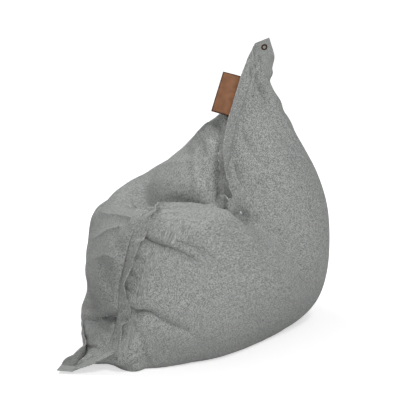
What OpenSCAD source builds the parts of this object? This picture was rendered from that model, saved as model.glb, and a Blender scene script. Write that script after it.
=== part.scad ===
// Bean bag chair: a flat two-panel pillow with a topstitched border, filled
// with beads and set down on one long side so that a corner stands up as the back.
// Millimetres, +Z up, the sitter looks along -Y. The origin is on the floor.

/* [Bag] */
// Width of the filled bag from side to side
bag_width = 822; // [740:2:900]
// Depth of the filled bag from the front floor corner to the back
bag_depth = 990; // [910:2:1070]
// Height of the back corner at its seam
bag_height = 990; // [900:5:1080]
// Rows of facets between two stations of the rails
rows_per_station = 3; // [2:1:4]
// Columns of facets between two rails
columns_per_rail = 2; // [2:1:3]

/* [Cover] */
// Thickness of the woven cover cloth
cover_t = 1.2; // [0.8:0.1:1.8]
// Width of the flat double border outside the seam
flange_w = 52; // [46:1:60]
// Swell of the filled cloth between its seams
swell = 10; // [4:1:16]

/* [Liner and fill] */
// Thickness of the liner cloth
liner_t = 0.6; // [0.4:0.1:1]
// Slack between the cover and the liner
liner_slack = 3; // [2:0.5:6]
// Room under the liner for the zip of the cover
zip_room = 13; // [12:0.5:20]
// Slack between the liner and the beads
fill_slack = 0.4; // [0.2:0.1:1]

/* [Eyelet] */
// Radius of the hole through the eyelet
eyelet_bore_r = 5.5; // [4:0.25:7]
// Wall of the eyelet barrel
eyelet_wall = 1; // [0.8:0.1:1.4]
// Width of the rim outside the barrel
eyelet_rim = 4.5; // [3:0.25:6]
// Thickness of the eyelet rim and of its washer
eyelet_rim_t = 1; // [0.8:0.1:1.5]

/* [Label] */
// Length of the leather label along the border
label_length = 148; // [110:2:160]
// Width of the label that stands clear of the border
label_width = 58; // [40:1:70]
// Thickness of the folded leather
label_t = 3.2; // [2:0.2:4]
// Width of the label edge that is sewn into the border
label_sewn_w = 14; // [8:1:20]
// Station of the near seam at the middle of the label
label_station = 1.6; // [1.2:0.02:1.8]
// Clear distance from the border to the bend of the label
label_reach = 3; // [2.5:0.25:6]
// Angle by which the label leans from the border towards the seat, in degrees
label_lean = 50; // [0:5:70]

/* [Zips] */
// Length of the closed tooth chain of the cover zip
cover_zip_length = 400; // [300:4:440]
// Distance of the cover zip from the origin, towards the front
cover_zip_y = -60; // [-80:2:-50]
// Length of the closed tooth chain of the liner zip
liner_zip_length = 300; // [240:4:360]
// Distance of the liner zip from the origin, towards the back
liner_zip_y = 60; // [45:2:90]
// Distance from tooth to tooth on one tape
tooth_pitch = 4; // [3:0.25:5]
// Height of a tooth through the chain
tooth_h = 3; // [2.4:0.1:3.6]
// Reach of a tooth past the middle of the chain
tooth_reach = 1.4; // [1:0.1:1.8]
// Distance from the middle of the chain to the tape
tape_inner = 3.4; // [3:0.1:4]
// Width of one tape outside the teeth
tape_w = 14; // [12:0.5:18]
// Thickness of a tape
tape_t = 0.6; // [0.4:0.1:0.8]
// Depth of the recess that holds the cover zip clear of the floor
placket_h = 8; // [7.6:0.2:11]
// Width of the sewn border round the recess
placket_border = 12; // [8:1:18]

/* [Sliders] */
// Length of a slider
slider_length = 16; // [14:0.5:20]
// Thickness of the two slider plates
slider_plate = 1; // [0.8:0.1:1.2]
// Clearance of a slider round the teeth and the tapes
slider_gap = 0.2; // [0.15:0.05:0.3]
// Width of the slider's side lips
slider_lip = 1.6; // [1.2:0.1:2]
// Length of the puller beyond its pin
puller_length = 28; // [22:1:34]
// Width of the puller
puller_w = 7; // [6.4:0.2:9]
// Thickness of the puller and of its pin
puller_t = 1.3; // [1:0.1:1.4]

/* [Hidden] */

$fn = 48;
seat = 1;    // the panel that is sat on
base = -1;   // the panel behind and below

// Form of the filled bag. Each rail runs along the bag from the back edge to the
// front edge, in centimetres of a bag 82.2 wide, 99 deep and 99 high at its seam.
// The back and front edges run from the near seam to the far seam.
back_edge = [[12.5, 23.8, 99], [13, 27.5, 89], [8.5, 34.5, 78], [-1, 41.5, 67],
             [-11, 46, 59], [-21, 45.5, 52], [-31, 42, 46]];
front_edge = [[19, -46.5, 1], [12, -41, 1], [3, -38, 1], [-6, -35, 1],
              [-14, -31.5, 1], [-20, -28.5, 1], [-26, -25, 1]];
near_seam = [[14.5, 19, 89], [17.5, 13.5, 79], [21, 9, 69], [23, 6, 59.5], [26, 3.5, 50.5],
             [28, -9, 53], [29, -25, 53], [29, -30.5, 45], [26, -33.5, 28],
             [25, -34, 18], [24, -37.5, 8]];
seat_near = [[9, 20.5, 86], [11, 12, 76.5], [14, 5, 66.5], [16, -1, 56.5], [18, -4, 45.5],
             [17, -12, 44], [18, -22, 49.5], [18, -31, 42], [16, -35, 27], [15, -33, 17],
             [15, -35.5, 8]];
seat_middle = [[3, 23, 81.5], [3, 12.5, 75], [5, 4.5, 65], [6, -4, 54.5], [6, -8, 42.5],
               [4, -14, 40], [4, -21, 46.5], [4, -29, 40], [4, -33.8, 26], [4, -31.5, 16.5],
               [4, -34.3, 8]];
seat_far = [[-4, 26, 76], [-5, 15, 73.5], [-6, 6.5, 65], [-8, -3, 55], [-9, -7, 44.5],
            [-11, -12.5, 42], [-10, -18.5, 45], [-10, -25.5, 38.5], [-9, -30.8, 25],
            [-8, -29, 16], [-8, -31.3, 8]];
far_crest = [[-13, 30, 67], [-16, 17, 66.5], [-20, 11, 60.5], [-24, 3, 55], [-25, -3, 51],
             [-25, -9, 48], [-23, -15.5, 45], [-22, -21.5, 37.5], [-20, -26.5, 25],
             [-18, -26.5, 16], [-17, -29.5, 8]];
far_side = [[-24, 35, 59], [-29, 22, 57.5], [-32, 16, 55.5], [-35, 8, 51.5], [-36, 2, 48.5],
            [-36, -5, 46], [-34, -12, 42.5], [-32, -18, 36], [-29, -23, 24], [-26, -24, 16],
            [-24, -26, 8]];
far_seam = [[-35, 37, 45], [-39, 29, 43.5], [-42, 20, 42.5], [-43, 12, 41.5], [-43.5, 4, 40.5],
            [-43, -4, 39], [-41, -11, 36.5], [-39, -16, 33.5], [-36, -21, 23.5],
            [-33, -22, 15.5], [-29.5, -23, 8]];
base_far = [[-26, 46, 41], [-27, 44, 33], [-28, 41, 22], [-29, 36, 11], [-29, 27, 3],
            [-28, 14, 0], [-29, -1, 0], [-30, -9, 0], [-29, -14, 0], [-27, -18, 0],
            [-25, -22, 0]];
base_middle = [[-13, 49, 49], [-10, 51.5, 40], [-9, 52.3, 27], [-6, 50, 13], [-4, 42.5, 3],
               [-3, 23, 0], [0, 3, 0], [0, -10, 0], [0, -17, 0], [0, -22, 0], [0, -27.5, 0]];
base_near = [[-1, 45.8, 58], [4, 50.2, 48], [7, 52.5, 35], [11, 50.8, 18], [11.5, 45, 7],
             [16.5, 26, 0], [26, 4, 0], [27, -10, 0], [26.5, -19, 0], [25, -25, 0],
             [22.5, -31.5, 0]];
side_low = [[9, 39.8, 68], [16, 43, 58], [22, 43.5, 46], [26, 39.8, 33], [28, 31.5, 26],
            [34, 16, 24], [38.7, 2, 22], [37.5, -10, 17], [32.5, -20, 9], [29.5, -25, 6],
            [26.5, -31.5, 2.5]];
side_high = [[16, 29.5, 80], [22.5, 28, 69], [27.5, 26, 58], [29.5, 22, 47], [29, 15, 42.5],
             [33.5, 3, 48], [37, -9, 45], [36, -20, 38], [34, -27, 23], [31, -29, 13],
             [28, -34, 5]];

// The way the border leaves the seam, station by station.
near_flange = [[0.13, -0.39, 0.91], [0.07, -0.66, 0.75], [0.19, -0.66, 0.73], [0.44, -0.78, 0.44],
               [0.95, -0.2, 0.2], [0.85, -0.25, 0.45], [-0.93, 0, 0.35], [0.6, 0, 0.8],
               [0.93, 0.09, 0.35], [0.93, -0.28, 0.24], [0.94, 0.2, 0.1], [0.95, -0.2, 0.1],
               [0.8, -0.55, 0]];
far_flange = [[-0.8, 0, 0.6], [-0.87, 0, 0.5], [-0.87, 0, 0.5], [-0.87, 0, 0.5],
              [-0.87, 0, 0.5], [-0.9, 0, 0.45], [-0.9, -0.1, 0.4], [-0.87, -0.3, 0.4],
              [-0.93, -0.15, 0.3], [-0.95, 0.2, 0.15], [-0.95, 0.2, 0.1], [-0.95, 0.2, 0.1],
              [-0.85, 0, 0.5]];
back_flange = [[0.31, 0.88, 0.36], [-0.85, 0.5, 0.05], [-0.85, 0.35, 0.4], [-0.3, 0.6, 0.75],
               [0, 0.6, 0.8], [-0.1, 0.6, 0.8], [-0.3, 0.7, 0.65]];
front_flange = [[-0.5, -0.85, 0], [-0.3, -0.6, 0.75], [-0.1, -0.25, 0.96], [0, -0.2, 0.98],
                [0, -0.2, 0.98], [0, -0.22, 0.97], [-0.1, -0.5, 0.85]];

unit_scale = [bag_width / 82.2, bag_depth / 99, bag_height / 99];
stations = len(near_seam) + 1;   // spans along the bag
rails = len(back_edge) - 1;      // spans across one panel
edge_cut = 0.3;                  // where the inner layers turn back, in spans
swell_edge = 1.1;                // how far from a seam the swell is full, in spans

function unit(v) = v / norm(v);
function scaled(p) = [p.x * unit_scale.x, p.y * unit_scale.y, p.z * unit_scale.z];
function flat(rows) = [for (row = rows) for (p = row) p];

// Catmull-Rom curve through a list of points; t counts the points passed.
function spline(a, b, c, d, t) =
    0.5 * (2 * b + (c - a) * t + (2 * a - 5 * b + 4 * c - d) * t * t
           + (3 * b - 3 * c + d - a) * t * t * t);
function curve(points, t) =
    let (last = len(points) - 1, i = min(floor(t), last - 1),
         before = i > 0 ? points[i - 1] : 2 * points[0] - points[1],
         after = i + 2 <= last ? points[i + 2] : 2 * points[last] - points[last - 1])
    spline(before, points[i], points[i + 1], after, t - i);

// One rail with its two end points, column counted from the near seam.
function rail(middle, column) =
    [for (p = concat([back_edge[column]], middle, [front_edge[column]])) scaled(p)];
seat_rails = [rail(near_seam, 0), rail(seat_near, 1), rail(seat_middle, 2), rail(seat_far, 3),
              rail(far_crest, 4), rail(far_side, 5), rail(far_seam, 6)];
base_rails = [rail(near_seam, 0), rail(side_high, 1), rail(side_low, 2), rail(base_near, 3),
              rail(base_middle, 4), rail(base_far, 5), rail(far_seam, 6)];

// A panel's surface as rows of points at stations us and columns vs, swollen between its
// seams and never under the floor.
function on_floor(p, height = 0) = [p.x, p.y, max(p.z, height)];
function eased(t, spans) =
    let (d = min(1, min(t, spans - t) / swell_edge)) d * (2 - d);
function skin(side, us, vs) =
    let (lines = side == seat ? seat_rails : base_rails,
         slack = [for (u = us) let (across = [for (line = lines) curve(line, u)])
                     [for (v = vs) curve(across, v)]],
         normal = normals(slack, side))
    [for (i = [0:len(us) - 1]) [for (j = [0:len(vs) - 1])
        on_floor(slack[i][j] + swell * eased(us[i], stations) * eased(vs[j], rails)
                               * normal[i][j])]];

// Unit normals of a grid of points, pointing out of the bag.
function normals(grid, side) =
    let (last_i = len(grid) - 1, last_j = len(grid[0]) - 1)
    [for (i = [0:last_i]) [for (j = [0:last_j])
        let (along = grid[min(i + 1, last_i)][j] - grid[max(i - 1, 0)][j],
             across = grid[i][min(j + 1, last_j)] - grid[i][max(j - 1, 0)])
        side * unit(cross(across, along))]];

// Two rows or columns of numbers, evenly spaced, with the ends pulled in by cut.
function spaced(spans, per_span, cut = 0) =
    let (count = spans * per_span, first = ceil(cut * per_span + 0.4))
    cut == 0 ? [for (k = [0:count]) k / per_span]
             : concat([cut], [for (k = [first:count - first]) k / per_span], [spans - cut]);

// Closed solid between an outer and an inner grid of points.
function triangles(quads) = [for (q = quads) each [[q[0], q[1], q[2]], [q[0], q[2], q[3]]]];
function reversed(faces) = [for (f = faces) [f[0], f[2], f[1]]];
module sheet(outer, inner, side) {
    n = len(outer);
    m = len(outer[0]);
    function a(i, j) = i * m + j;
    function b(i, j) = n * m + i * m + j;
    quads = concat(
        [for (i = [n - 2:-1:0]) for (j = [m - 2:-1:0])
            [a(i, j), a(i + 1, j), a(i + 1, j + 1), a(i, j + 1)]],
        [for (i = [0:n - 2]) each [
            [a(i + 1, 0), a(i, 0), b(i, 0), b(i + 1, 0)],
            [a(i, m - 1), a(i + 1, m - 1), b(i + 1, m - 1), b(i, m - 1)]]],
        [for (j = [0:m - 2]) each [
            [a(0, j), a(0, j + 1), b(0, j + 1), b(0, j)],
            [a(n - 1, j + 1), a(n - 1, j), b(n - 1, j), b(n - 1, j + 1)]]]);
    backs = [for (i = [0:n - 2]) for (j = [0:m - 2])
                [b(i, j), b(i + 1, j), b(i + 1, j + 1), b(i, j + 1)]];
    faces = concat(triangles(quads), reversed(triangles(backs)));
    polyhedron(concat(flat(outer), flat(inner)), side == seat ? faces : reversed(faces));
}

// ---- Cover: two panels, each with its own ply of the border ----
cover_us = spaced(stations, rows_per_station);
cover_vs = spaced(rails, columns_per_rail);
last_row = len(cover_us) - 1;
last_column = len(cover_vs) - 1;
function border_point(from, way) = from + flange_w * unit(way);
function near_border(u) = border_point(curve(seat_rails[0], u), curve(near_flange, u));
function far_border(u) = border_point(curve(seat_rails[rails], u), curve(far_flange, u));
function back_border(v) = border_point(curve([for (p = back_edge) scaled(p)], v),
                                       curve(back_flange, v));
function front_border(v) = border_point(curve([for (p = front_edge) scaled(p)], v),
                                        curve(front_flange, v));
// A mitred corner of the border, from the seam corner and the two borders beside it.
function mitre(corner, p, q) = p + q - corner;
function with_border(grid) =
    let (near = [for (u = cover_us) near_border(u)], far = [for (u = cover_us) far_border(u)],
         back = [for (v = cover_vs) back_border(v)], front = [for (v = cover_vs) front_border(v)])
    concat(
        [concat([mitre(grid[0][0], near[0], back[0])], back,
                [mitre(grid[0][last_column], far[0], back[last_column])])],
        [for (i = [0:last_row]) concat([near[i]], grid[i], [far[i]])],
        [concat([mitre(grid[last_row][0], near[last_row], front[0])], front,
                [mitre(grid[last_row][last_column], far[last_row], front[last_column])])]);

ply_gap = 0.25;   // from the middle of the border to each ply
peak = curve(seat_rails[0], 0);
peak_near = near_border(0);
peak_back = back_border(0);
eyelet_axis = unit(cross(peak_back - peak, peak_near - peak));
eyelet_centre = (peak_near + peak_back) / 2;
eyelet_barrel_r = eyelet_bore_r + eyelet_wall;
eyelet_hole_h = 40;   // clear through both plies

module cover_panel(side) {
    middle = with_border(skin(side, cover_us, cover_vs));
    normal = normals(middle, side);
    rows = len(middle);
    columns = len(middle[0]);
    function in_bag(i, j) = i > 1 && j > 1 && i < rows - 2 && j < columns - 2;
    function out(i, j) = i < 2 && j < 2 ? -side * eyelet_axis : normal[i][j];
    outer = [for (i = [0:rows - 1]) [for (j = [0:columns - 1])
        in_bag(i, j) ? middle[i][j]
                     : on_floor(middle[i][j] + (cover_t + ply_gap) * out(i, j))]];
    inner = [for (i = [0:rows - 1]) [for (j = [0:columns - 1])
        in_bag(i, j) ? middle[i][j] - cover_t * out(i, j)
                     : on_floor(middle[i][j] + ply_gap * out(i, j), cover_t)]];
    sheet(outer, inner, side);
}

module eyelet_hole() {
    along(eyelet_centre, eyelet_axis)
        cylinder(h = eyelet_hole_h, r = eyelet_barrel_r + 0.1, center = true);
}

module cover_seat_panel() {
    color([0.55, 0.56, 0.55]) difference() {
        cover_panel(seat);
        eyelet_hole();
    }
}

module cover_base_panel() {
    color([0.57, 0.58, 0.57]) difference() {
        cover_panel(base);
        eyelet_hole();
        at_zip(cover_zip_y, 0)
            cube([placket_inside.x, placket_inside.y, 4 * cover_t], center = true);
    }
}

// ---- Liner: two panels that hold the beads ----
liner_us = spaced(stations, rows_per_station, edge_cut);
liner_vs = spaced(rails, columns_per_rail, edge_cut);
function inset(side, us, vs, slack, room) =
    let (grid = skin(side, us, vs), normal = normals(grid, side))
    [for (i = [0:len(us) - 1]) [for (j = [0:len(vs) - 1])
        grid[i][j] - (slack + room * pow(max(0, -normal[i][j].z), 4)) * normal[i][j]]];
// Points on the edge of the two grids are drawn together to one seam line.
function seamed(side, slack, room) =
    let (own = inset(side, liner_us, liner_vs, slack, room),
         other = inset(-side, liner_us, liner_vs, slack, room),
         n = len(liner_us) - 1, m = len(liner_vs) - 1)
    [for (i = [0:n]) [for (j = [0:m])
        i == 0 || j == 0 || i == n || j == m
            ? (own[i][j] + other[i][j]) / 2 + ply_gap * unit(own[i][j] - other[i][j])
            : own[i][j]]];
liner_depth = cover_t + liner_slack;
liner_room = zip_room - liner_slack;
liner_floor = liner_depth + liner_room;   // height of the liner's outside over the floor

module liner_panel(side) {
    sheet(seamed(side, liner_depth, liner_room),
          seamed(side, liner_depth + liner_t, liner_room), side);
}

module liner_seat_panel() {
    color([0.93, 0.93, 0.91]) liner_panel(seat);
}

module liner_base_panel() {
    color([0.93, 0.93, 0.91]) difference() {
        liner_panel(base);
        at_zip(liner_zip_y, liner_floor)
            cube([slot_length(liner_zip_length), slot_w, 4 * liner_t], center = true);
        // room for the slider where the cloth rises at the end of a long zip
        translate(slider_place(liner_chain, liner_zip_length))
            cube([slider_length, slider_w, slider_h] + 2 * slider_gap * [1, 1, 1], center = true);
    }
}

// ---- Beads: one closed body, rings of points lofted along the bag ----
fill_depth = liner_depth + liner_t + fill_slack;
function trimmed(grid) = [for (i = [1:len(grid) - 2])
    [for (j = [1:len(grid[i]) - 2]) grid[i][j]]];

module bead_body() {
    top = trimmed(inset(seat, liner_us, liner_vs, fill_depth, liner_room));
    under = trimmed(inset(base, liner_us, liner_vs, fill_depth, liner_room));
    n = len(top) - 1;
    m = len(top[0]) - 1;
    ring = 2 * m;
    // The beads stay short of the seams, where they don't reach into the narrow edge.
    function middle(i, j) = (top[i][j] + under[i][j]) / 2;
    function short_of_seam(i, j, next) = 0.1 * middle(i, j) + 0.9 * middle(i, next);
    points = [for (i = [0:n]) for (k = [0:ring - 1])
        k == 0 ? short_of_seam(i, 0, 1) : k == m ? short_of_seam(i, m, m - 1)
        : k < m ? top[i][k] : under[i][ring - k]];
    function at(i, k) = i * ring + k % ring;
    function low(i, j) = at(i, j == 0 ? 0 : ring - j);
    seat_faces = [for (i = [0:n - 1]) for (j = [0:m - 1])
        [at(i, j), at(i + 1, j), at(i + 1, j + 1), at(i, j + 1)]];
    base_faces = [for (i = [0:n - 1]) for (j = [0:m - 1])
        [low(i, j), low(i + 1, j), low(i + 1, j + 1), low(i, j + 1)]];
    ends = concat(
        [for (j = [1:m - 2]) [at(0, j), at(0, j + 1), low(0, j + 1), low(0, j)]],
        [for (j = [1:m - 2]) [low(n, j), low(n, j + 1), at(n, j + 1), at(n, j)]]);
    tips = [[at(0, 0), at(0, 1), low(0, 1)], [at(0, m - 1), at(0, m), low(0, m - 1)],
            [at(n, 1), at(n, 0), low(n, 1)], [at(n, m), at(n, m - 1), low(n, m - 1)]];
    polyhedron(points, concat(triangles(concat(seat_faces, ends)),
                              reversed(triangles(base_faces)), tips));
}

module bead_fill() {
    color([0.97, 0.97, 0.96]) difference() {
        bead_body();
        at_zip(liner_zip_y, liner_floor + liner_t)
            cube([slot_length(liner_zip_length) + tape_overlap + 2,
                  2 * (tape_inner + tape_w) + 2, 2 * slider_h], center = true);
    }
}

// ---- Zips. A zip lies along X with its outside downwards ----
slider_w = 2 * (tape_inner + slider_gap + slider_lip);
slot_w = slider_w + 1;   // opening that shows the chain
slider_h = tooth_h + 2 * (slider_gap + slider_plate);
stop_length = 4;
end_room = slider_length / 2 + stop_length + 4;   // from the last tooth to the end of the slot
function slot_length(chain) = chain + 2 * end_room;
tape_overlap = 10;   // how much longer the tapes are than their slot
placket_margin = 12;   // from the opening to the side of the pocket
placket_inside = [cover_zip_length + 2 * max(end_room + 8, puller_length + 4),
                  slot_w + 2 * placket_margin];

module at_zip(y, z) {
    translate([0, y, z]) children();
}
module along(place, direction) {
    translate(place) rotate([0, acos(direction.z), atan2(direction.y, direction.x)]) children();
}

// Fabric tray that lifts the zip off the floor: a border sewn inside the panel,
// four walls and a web with the slot.
module zip_placket() {
    color([0.53, 0.54, 0.53]) at_zip(cover_zip_y, 0) difference() {
        union() {
            translate([0, 0, cover_t])
                plate(placket_inside + 2 * [placket_border, placket_border], cover_t);
            translate([0, 0, cover_t])
                plate(placket_inside + 2 * [cover_t, cover_t], placket_h - cover_t);
        }
        translate([0, 0, -cover_t]) plate(placket_inside, placket_h);
        plate([slot_length(cover_zip_length), slot_w], placket_h + 1);
    }
}
module plate(size, height) {
    translate([-size.x / 2, -size.y / 2, 0]) cube([size.x, size.y, height]);
}

// One tape, on the side of the chain that way gives (1 back, -1 front).
module zip_tape(chain, way) {
    length = slot_length(chain) + tape_overlap;
    translate([-length / 2, way > 0 ? tape_inner : -tape_inner - tape_w, -tape_t / 2])
        cube([length, tape_w, tape_t]);
}

// One row of teeth on its moulded spine; the two rows mesh half a pitch apart.
module zip_teeth(chain, way) {
    count = floor(chain / tooth_pitch);
    head = 0.45 * tooth_pitch - 0.1;
    neck = 0.3 * tooth_pitch;
    root = tape_inner - 1;
    outline = concat(
        [[-chain / 2, tape_inner], [-chain / 2, root]],
        [for (k = [0:count - 1]) let (x = -chain / 2 + (k + (way > 0 ? 0.3 : 0.8)) * tooth_pitch)
            each [[x - neck / 2, root], [x - head / 2, -tooth_reach + 0.8],
                  [x - head / 2, -tooth_reach], [x + head / 2, -tooth_reach],
                  [x + head / 2, -tooth_reach + 0.8], [x + neck / 2, root]]],
        [[chain / 2 + neck, root], [chain / 2 + neck, tape_inner]]);
    translate([0, 0, -tooth_h / 2]) linear_extrude(height = tooth_h)
        polygon(way > 0 ? outline : [for (p = outline) [p.x, -p.y]]);
}

// Stops above the slider, one on each tape.
module zip_top_stops(chain) {
    for (way = [-1, 1])
        translate([chain / 2 + (slider_length + stop_length) / 2 + 1,
                   way * (tape_inner - 0.6), 0])
            cube([stop_length, 1.2, tooth_h], center = true);
}
// Block that joins the two tapes below the first tooth.
module zip_bottom_stop(chain) {
    translate([-chain / 2 - stop_length / 2, 0, 0])
        cube([stop_length, 2 * tape_inner, tooth_h + 0.4], center = true);
}

// Slider: two plates, a wedge between them at the open end, and lips that hold the
// tapes' edges. Its middle is at the origin and its wedge end points along +X.
module zip_slider_body() {
    half = tape_inner + slider_gap + slider_lip;
    inside = tooth_h / 2 + slider_gap;
    for (way = [-1, 1]) {
        translate([0, 0, way * (inside + slider_plate / 2)])
            linear_extrude(height = slider_plate, center = true) slider_outline(half);
        for (edge = [-1, 1])
            translate([0, edge * (half - slider_lip / 2),
                       way * (inside + tape_t / 2 + slider_gap) / 2])
                cube([slider_length - 4, slider_lip, inside - tape_t / 2 - slider_gap],
                     center = true);
    }
    linear_extrude(height = 2 * inside, center = true)
        polygon([[slider_length / 2 - 6, 0], [slider_length / 2 - 2.5, 1.7],
                 [slider_length / 2, 1.3], [slider_length / 2, -1.3],
                 [slider_length / 2 - 2.5, -1.7]]);
}
module slider_outline(half) {
    polygon([[-slider_length / 2, -half + 1.2], [-slider_length / 2 + 2, -half],
             [slider_length / 2 - 1.5, -half], [slider_length / 2, -half + 1.5],
             [slider_length / 2, half - 1.5], [slider_length / 2 - 1.5, half],
             [-slider_length / 2 + 2, half], [-slider_length / 2, half - 1.2]]);
}

// Arch under the outer plate that carries the puller's pin.
arch_w = 2.2;
arch_bar = 0.8;
arch_half = 4;
pin_drop = slider_h / 2 + 0.3 + puller_t / 2;   // from the chain's middle down to the pin
arch_drop = pin_drop + puller_t / 2 + 0.3;
module slider_arch() {
    translate([-arch_half, -arch_w / 2, -arch_drop - arch_bar])
        cube([2 * arch_half, arch_w, arch_bar]);
    for (x = [-arch_half, arch_half - 1.2])
        translate([x, -arch_w / 2, -arch_drop - arch_bar])
            cube([1.2, arch_w, arch_drop + arch_bar - slider_h / 2 + 0.2]);
}

// Puller: a pin across the arch, two arms beside it and a tab with a finger hole.
module puller() {
    arm_end = arch_half + 1.5;
    translate([0, 0, -pin_drop]) {
        rotate([90, 0, 0]) cylinder(h = puller_w - 0.4, d = puller_t, center = true);
        for (way = [-1, 1])
            translate([0, way * (puller_w + arch_w + 0.6) / 4, 0])
                rotate([90, 0, 0]) linear_extrude(
                    height = (puller_w - arch_w - 0.6) / 2, center = true) {
                    circle(d = puller_t);
                    translate([0, -puller_t / 2]) square([arm_end, puller_t]);
                }
        difference() {
            translate([arm_end - 0.5, -puller_w / 2, -puller_t / 2])
                cube([puller_length - arm_end + 0.5, puller_w, puller_t]);
            translate([puller_length - 5, 0, 0])
                cylinder(h = 2 * puller_t, d = 3.2, center = true);
        }
    }
}

cover_chain = [0, cover_zip_y, placket_h + tape_t / 2];
liner_chain = [0, liner_zip_y, liner_floor + liner_t + tape_t / 2];
// A closed zip's slider sits over the last teeth.
function slider_place(chain, length) = chain + [length / 2, 0, 0];
tape_colour = [0.3, 0.31, 0.31];
tooth_colour = [0.22, 0.22, 0.22];
metal_colour = [0.6, 0.6, 0.6];
liner_zip_colour = [0.88, 0.88, 0.86];

module cover_zip_tape_front() {
    color(tape_colour) translate(cover_chain) zip_tape(cover_zip_length, -1);
}
module cover_zip_tape_back() {
    color(tape_colour) translate(cover_chain) zip_tape(cover_zip_length, 1);
}
module cover_zip_teeth_front() {
    color(tooth_colour) translate(cover_chain) zip_teeth(cover_zip_length, -1);
}
module cover_zip_teeth_back() {
    color(tooth_colour) translate(cover_chain) zip_teeth(cover_zip_length, 1);
}
module cover_zip_top_stops() {
    color(metal_colour) translate(cover_chain) zip_top_stops(cover_zip_length);
}
module cover_zip_bottom_stop() {
    color(metal_colour) translate(cover_chain) zip_bottom_stop(cover_zip_length);
}
module cover_zip_slider() {
    color(metal_colour) translate(slider_place(cover_chain, cover_zip_length)) {
        zip_slider_body();
        slider_arch();
    }
}
module cover_zip_puller() {
    color(metal_colour) translate(slider_place(cover_chain, cover_zip_length)) puller();
}
module liner_zip_tape_front() {
    color(liner_zip_colour) translate(liner_chain) zip_tape(liner_zip_length, -1);
}
module liner_zip_tape_back() {
    color(liner_zip_colour) translate(liner_chain) zip_tape(liner_zip_length, 1);
}
module liner_zip_teeth_front() {
    color(liner_zip_colour) translate(liner_chain) zip_teeth(liner_zip_length, -1);
}
module liner_zip_teeth_back() {
    color(liner_zip_colour) translate(liner_chain) zip_teeth(liner_zip_length, 1);
}
module liner_zip_top_stops() {
    color(metal_colour) translate(liner_chain) zip_top_stops(liner_zip_length);
}
module liner_zip_bottom_stop() {
    color(metal_colour) translate(liner_chain) zip_bottom_stop(liner_zip_length);
}
// The liner's slider has no puller, so that a child can't open it.
module liner_zip_slider() {
    color(metal_colour) translate(slider_place(liner_chain, liner_zip_length)) zip_slider_body();
}

// ---- Eyelet: barrel and rim on the outside, washer and rolled end behind ----
ply_face = cover_t + ply_gap + 0.02;   // from the middle of the border to a rim
eyelet_roll = 0.8;
module eyelet() {
    color([0.32, 0.24, 0.18]) along(eyelet_centre, eyelet_axis) rotate_extrude()
        polygon([[eyelet_bore_r, -ply_face - eyelet_rim_t - eyelet_roll],
                 [eyelet_barrel_r + 1, -ply_face - eyelet_rim_t - eyelet_roll],
                 [eyelet_barrel_r + 1, -ply_face - eyelet_rim_t],
                 [eyelet_barrel_r, -ply_face - eyelet_rim_t],
                 [eyelet_barrel_r, ply_face],
                 [eyelet_barrel_r + eyelet_rim, ply_face],
                 [eyelet_barrel_r + eyelet_rim - 0.3, ply_face + eyelet_rim_t * 0.6],
                 [eyelet_barrel_r + eyelet_rim / 2, ply_face + eyelet_rim_t],
                 [eyelet_bore_r, ply_face + eyelet_rim_t]]);
}
module eyelet_washer() {
    color([0.32, 0.24, 0.18]) along(eyelet_centre, eyelet_axis)
        translate([0, 0, -ply_face - eyelet_rim_t]) difference() {
            cylinder(h = eyelet_rim_t, r = eyelet_barrel_r + eyelet_rim);
            translate([0, 0, -1])
                cylinder(h = eyelet_rim_t + 2, r = eyelet_barrel_r + 0.02);
        }
}

// ---- Label: folded leather, sewn into the border and free to bend at its edge ----
label_line = near_border(label_station + 0.3) - near_border(label_station - 0.3);
label_y = unit(label_line);
label_way = unit(curve(near_flange, label_station));
label_x = unit(label_way - (label_way * label_y) * label_y);
label_z = cross(label_x, label_y);
label_bend = near_border(label_station) + (label_reach + label_t / 2) * label_x;
module at_label() {
    translate(label_bend)
        rotate([atan2(label_y.z, label_z.z), -asin(label_x.z), atan2(label_x.y, label_x.x)])
            rotate([90, 0, 0]) children();
}
module label() {
    color([0.45, 0.28, 0.18]) at_label() rotate([0, 0, -label_lean])
        linear_extrude(height = label_length, center = true) {
            circle(d = label_t);
            translate([0, -label_t / 2]) square([label_width - label_t, label_t]);
            translate([label_width - label_t, 0]) circle(d = label_t);
        }
}
module label_sewn_edge() {
    color([0.45, 0.28, 0.18]) at_label()
        translate([-label_t / 2 - 0.3 - label_reach - label_sewn_w, -0.6, -label_length / 2])
            cube([label_sewn_w + label_reach, 1.2, label_length]);
}

cover_seat_panel();
cover_base_panel();
liner_seat_panel();
liner_base_panel();
bead_fill();
zip_placket();
cover_zip_tape_front();
cover_zip_tape_back();
cover_zip_teeth_front();
cover_zip_teeth_back();
cover_zip_top_stops();
cover_zip_bottom_stop();
cover_zip_slider();
cover_zip_puller();
liner_zip_tape_front();
liner_zip_tape_back();
liner_zip_teeth_front();
liner_zip_teeth_back();
liner_zip_top_stops();
liner_zip_bottom_stop();
liner_zip_slider();
eyelet();
eyelet_washer();
label();
label_sewn_edge();
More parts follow.
